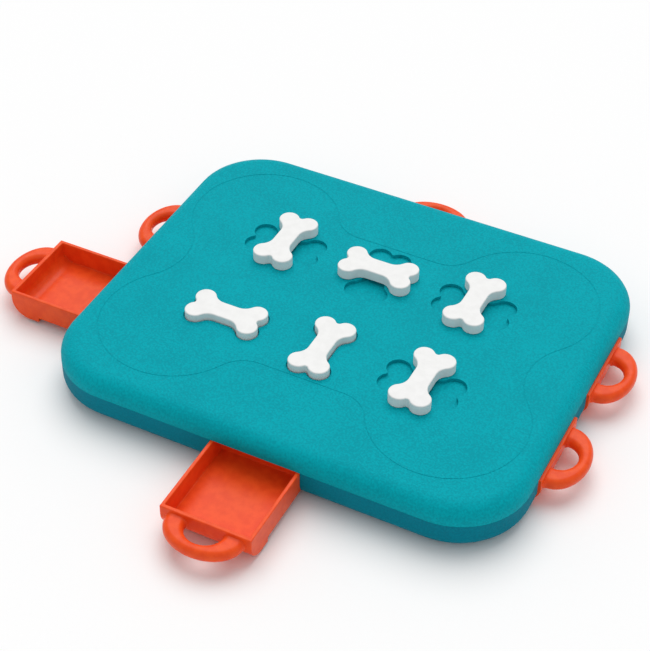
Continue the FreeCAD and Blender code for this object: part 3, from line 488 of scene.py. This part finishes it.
def make_handle():
    fresh()
    bpy.ops.mesh.primitive_circle_add(vertices=RING_POINTS, radius=MM, fill_type="NOTHING")
    handle = bpy.context.object
    handle.name = "drawer_handle"
    reach, root = HANDLE_REACH - FLARE_LONG, FRONT + FLARE_LONG
    bpy.ops.object.mode_set(mode="EDIT")
    bpy.ops.mesh.select_all(action="SELECT")
    bpy.ops.transform.resize(value=(reach, HANDLE_HALF, 1))
    bpy.ops.mesh.extrude_edges_move()
    bpy.ops.transform.resize(value=((HOLE_REACH - FLARE_LONG) / reach, HOLE_HALF / HANDLE_HALF, 1))
    bpy.ops.mesh.select_all(action="SELECT")
    bpy.ops.mesh.bisect(plane_co=(0, 0, 0), plane_no=(1, 0, 0), clear_inner=True)
    bpy.ops.mesh.select_all(action="SELECT")
    pull(z=HANDLE_THICK)
    bpy.ops.mesh.select_all(action="SELECT")
    bpy.ops.mesh.normals_make_consistent(inside=False)
    shift(x=root, z=HANDLE_Z - HANDLE_THICK / 2)

    def outness(spot):
        """1 on the handle's outer ellipse, and less inside it."""
        return math.hypot((spot.x - root) / reach, spot.y / HANDLE_HALF)

    def long_edge(a, b):
        at_root = near(a.x, root) and near(b.x, root)
        return near(a.z, b.z) and not at_root and near(outness(a), outness(b), RING_SLACK)

    pick(handle, "edges", long_edge)
    round_off(HANDLE_ROUND, HANDLE_STEPS)
    for side in (1, -1):
        pick(handle, "faces", lambda spot, facing: facing.x < -FACING and near(spot.x, root)
             and spot.y * side > 0)
        pull(x=-FLARE_LONG - SUNK)
        middle = (FRONT * MM, side * (HANDLE_HALF + HOLE_HALF) / 2 * MM, HANDLE_Z * MM)
        bpy.ops.transform.resize(value=(1, FLARE_WIDE, FLARE_WIDE), center_override=middle)
        pull(x=-ROOT_DEEP)
    bpy.ops.object.mode_set(mode="OBJECT")
    return handle


handle = make_handle()
print("handle:", len(handle.data.polygons), "faces")

# %% [markdown]
# ## The tail
# Behind the tray a flat tail runs under the middle of the plate. The bone's tongue comes down through
# it: a bone that lies along the drawer drops into its slot, and a crossed one stands in its round pocket.
# Two ears at the end meet a rib of the cover, so that a drawer can't be pulled out altogether. The tail
# is a block, with the slot and the pocket cut out of it and the ears joined on.

# %% The tail of a drawer
# along X the tail starts inside the tray's rear wall; its upper face is level with the rim
TAIL_END, TAIL_START = -129.0, BACK + 1.6
TAIL_HALF, TAIL_LOW = 15.0, 24.2
TAIL_ROUND, TAIL_STEPS = 0.3, 2
SLOT_HALF = 2.3
POCKET_X, POCKET_R = -114.0, 5.8
POCKET_SIDES, POCKET_CUT = 40, 10.0
EAR_NEAR, EAR_FAR, EAR_THICK, EAR_TOP = 6.5, 11.0, 3.0, 31.0
EAR_SUNK = 0.5
# a cutter runs past the faces that it cuts by this much
PAST = 1.0


def make_tail():
    tail = block("drawer_tail", (TAIL_END, -TAIL_HALF, TAIL_LOW), (TAIL_START, TAIL_HALF, RIM))
    slot = block("tail_slot", (TAIL_END - PAST, -SLOT_HALF, TAIL_LOW - PAST),
                 (POCKET_X, SLOT_HALF, RIM + PAST))
    combine(tail, slot, "DIFFERENCE")
    fresh()
    bpy.ops.mesh.primitive_cylinder_add(vertices=POCKET_SIDES, radius=POCKET_R * MM,
                                        depth=POCKET_CUT * MM, location=(POCKET_X * MM, 0, RIM * MM))
    combine(tail, bpy.context.object, "DIFFERENCE")
    for low, high in ((EAR_NEAR, EAR_FAR), (-EAR_FAR, -EAR_NEAR)):
        ear = block("tail_ear", (TAIL_END, low, RIM - EAR_SUNK), (TAIL_END + EAR_THICK, high, EAR_TOP))
        combine(tail, ear)
    soften(tail, TAIL_ROUND, TAIL_STEPS)
    return tail


tail = make_tail()
print("tail:", len(tail.data.polygons), "faces")

# %% [markdown]
# ## One drawer becomes six
# The three forms are joined into one closed mesh. Each drawer then gets its own copy, turned to its side
# of the plate and pulled out as far as it is in the photograph: two stand open and four are shut. The
# copies stand for the plain drawers of the model and ride on the same bodies.

# %% Six drawers
SMOOTH_ANGLE = 32
# half the plate's length and width, the rows' distance from its middle, and how far two are pulled
HALF_LONG, HALF_WIDE, ROW = 201.0, 166.0, 52.0
OPEN_FRONT, OPEN_LEFT = 73.0, 70.0
DRAWERS = {
    "drawer_right_back": (0, (HALF_LONG, ROW)),
    "drawer_right_front": (0, (HALF_LONG, -ROW)),
    "drawer_back": (90, (0.0, HALF_WIDE)),
    "drawer_left_back": (180, (-HALF_LONG, ROW)),
    "drawer_left_front": (180, (-HALF_LONG - OPEN_LEFT, -ROW)),
    "drawer_front": (270, (0.0, -HALF_WIDE - OPEN_FRONT)),
}


def smooth(piece):
    """Smooth shading with weighted normals, so that flat walls stay flat beside their rounded edges."""
    choose(piece)
    bpy.ops.object.shade_smooth_by_angle(angle=math.radians(SMOOTH_ANGLE))
    weights = piece.modifiers.new("weights", "WEIGHTED_NORMAL")
    weights.keep_sharp = True
    bpy.ops.object.modifier_apply(modifier=weights.name)


combine(tray, tail)
combine(tray, handle)
smooth(tray)
dress(tray, drawer_plastic)
for name, (turn, (x, y)) in DRAWERS.items():
    drawer = bpy.data.objects.new(name + "_shell", tray.data.copy())
    bpy.context.scene.collection.objects.link(drawer)
    turned = Matrix.Rotation(math.radians(turn), 4, "Z")
    drawer.data.transform(Matrix.Translation((x * MM, y * MM, 0)) @ turned)
    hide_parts(name)
    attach(drawer, name)
bpy.data.objects.remove(tray)
print("drawers:", len(DRAWERS), "of", len(drawer.data.polygons), "faces each")

# %% [markdown]
# ## The floor
# The toy stands on a seamless white sheet. One large plane is enough, because the camera looks down on
# it and never sees its end. Its paper is nearly white, so it comes out white in the light and keeps the
# soft shadow that seats the toy.

# %% A white floor
SHEET_SIZE = 14
FIBRES = 300
PAPER_ROUGH, FIBRE_ROUGH = 0.8, 0.1


def make_floor():
    fresh()
    bpy.ops.mesh.primitive_plane_add(size=SHEET_SIZE)
    floor = bpy.context.object
    floor.name = "paper_floor"
    finish = Finish("white paper", IOR=1.4, Specular_IOR_Level=0.0)
    fibres = finish.spots(FIBRES, detail=3.0)
    colour = finish.blend(fibres, shade(0.975, 0.975, 0.975), shade(0.985, 0.985, 0.985))
    dress(floor, finish.feed(Base_Color=colour, Roughness=PAPER_ROUGH + FIBRE_ROUGH * fibres))
    return floor


floor = make_floor()
print("floor:", floor.name)

# %% [markdown]
# ## Light
# The photograph has the even light of large soft boxes. A white sky gives the even part of that
# light, and one broad lamp, high behind the plate and a little to its left, gives the streaks on the
# handles and the shadow under the front edge. Sky and lamp add up to about one on a level surface, so
# each colour comes out as it was written.

# %% Soft studio light
SKY = 0.56
LAMP = 1.62
LAMP_SPREAD = 55
LAMP_SIDE, LAMP_HEIGHT = 200, 62


def looking(azimuth, elevation):
    """The direction back towards a viewer at that azimuth and elevation, in degrees."""
    side, rise = math.radians(azimuth), math.radians(elevation)
    return Vector((math.sin(side) * math.cos(rise), -math.cos(side) * math.cos(rise), math.sin(rise)))


def make_light():
    world = bpy.data.worlds.new("white studio")
    bpy.context.scene.world = world
    world.use_nodes = True
    sky = world.node_tree.nodes["Background"]
    sky.inputs["Color"].default_value = shade(1.0, 1.0, 1.0)
    sky.inputs["Strength"].default_value = SKY
    lamp = bpy.data.lights.new("soft box", "SUN")
    lamp.energy = LAMP
    lamp.angle = math.radians(LAMP_SPREAD)
    holder = bpy.data.objects.new("soft box", lamp)
    holder.rotation_euler = looking(LAMP_SIDE, LAMP_HEIGHT).to_track_quat("Z", "Y").to_euler()
    bpy.context.scene.collection.objects.link(holder)
    return holder


soft_box = make_light()
print("light: sky", SKY, "and", soft_box.name, LAMP)

# %% [markdown]
# ## The camera
# The view was worked out from the grid of bones: their six middles form a lattice with known spacing,
# and only one camera sees that lattice as the photograph does. It stands to the right of the front, looks
# down at some 42 degrees through a long lens, and is tilted by less than a degree.

# %% The photograph's camera
AZIMUTH, ELEVATION, ROLL = 26.12, 41.73, 0.83
DISTANCE = 1.371
AIM = Vector((-0.0111, -0.0249, 0.044))
LENS, SENSOR = 93.8, 36.0
NEAREST, FARTHEST = 0.05, 50.0


def make_camera():
    camera = bpy.data.objects.new("camera", bpy.data.cameras.new("camera"))
    bpy.context.scene.collection.objects.link(camera)
    back = looking(AZIMUTH, ELEVATION)
    side = math.radians(AZIMUTH)
    right = Vector((math.cos(side), math.sin(side), 0.0))
    up = back.cross(right)
    turn = math.radians(ROLL)
    tilted_right = right * math.cos(turn) + up * math.sin(turn)
    tilted_up = up * math.cos(turn) - right * math.sin(turn)
    facing = Matrix((tilted_right, tilted_up, back)).transposed().to_4x4()
    camera.matrix_world = Matrix.Translation(AIM + back * DISTANCE) @ facing
    camera.data.lens = LENS
    camera.data.sensor_width = SENSOR
    camera.data.clip_start = NEAREST
    camera.data.clip_end = FARTHEST
    bpy.context.scene.camera = camera
    return camera


camera = make_camera()
bpy.context.scene.view_settings.view_transform = "Standard"
print("camera at", [round(part, 3) for part in camera.matrix_world.translation])

# %% [markdown]
# ## The last update
# The scene is brought up to date before the frame is closed.

# %% Update the scene
bpy.context.view_layer.update()
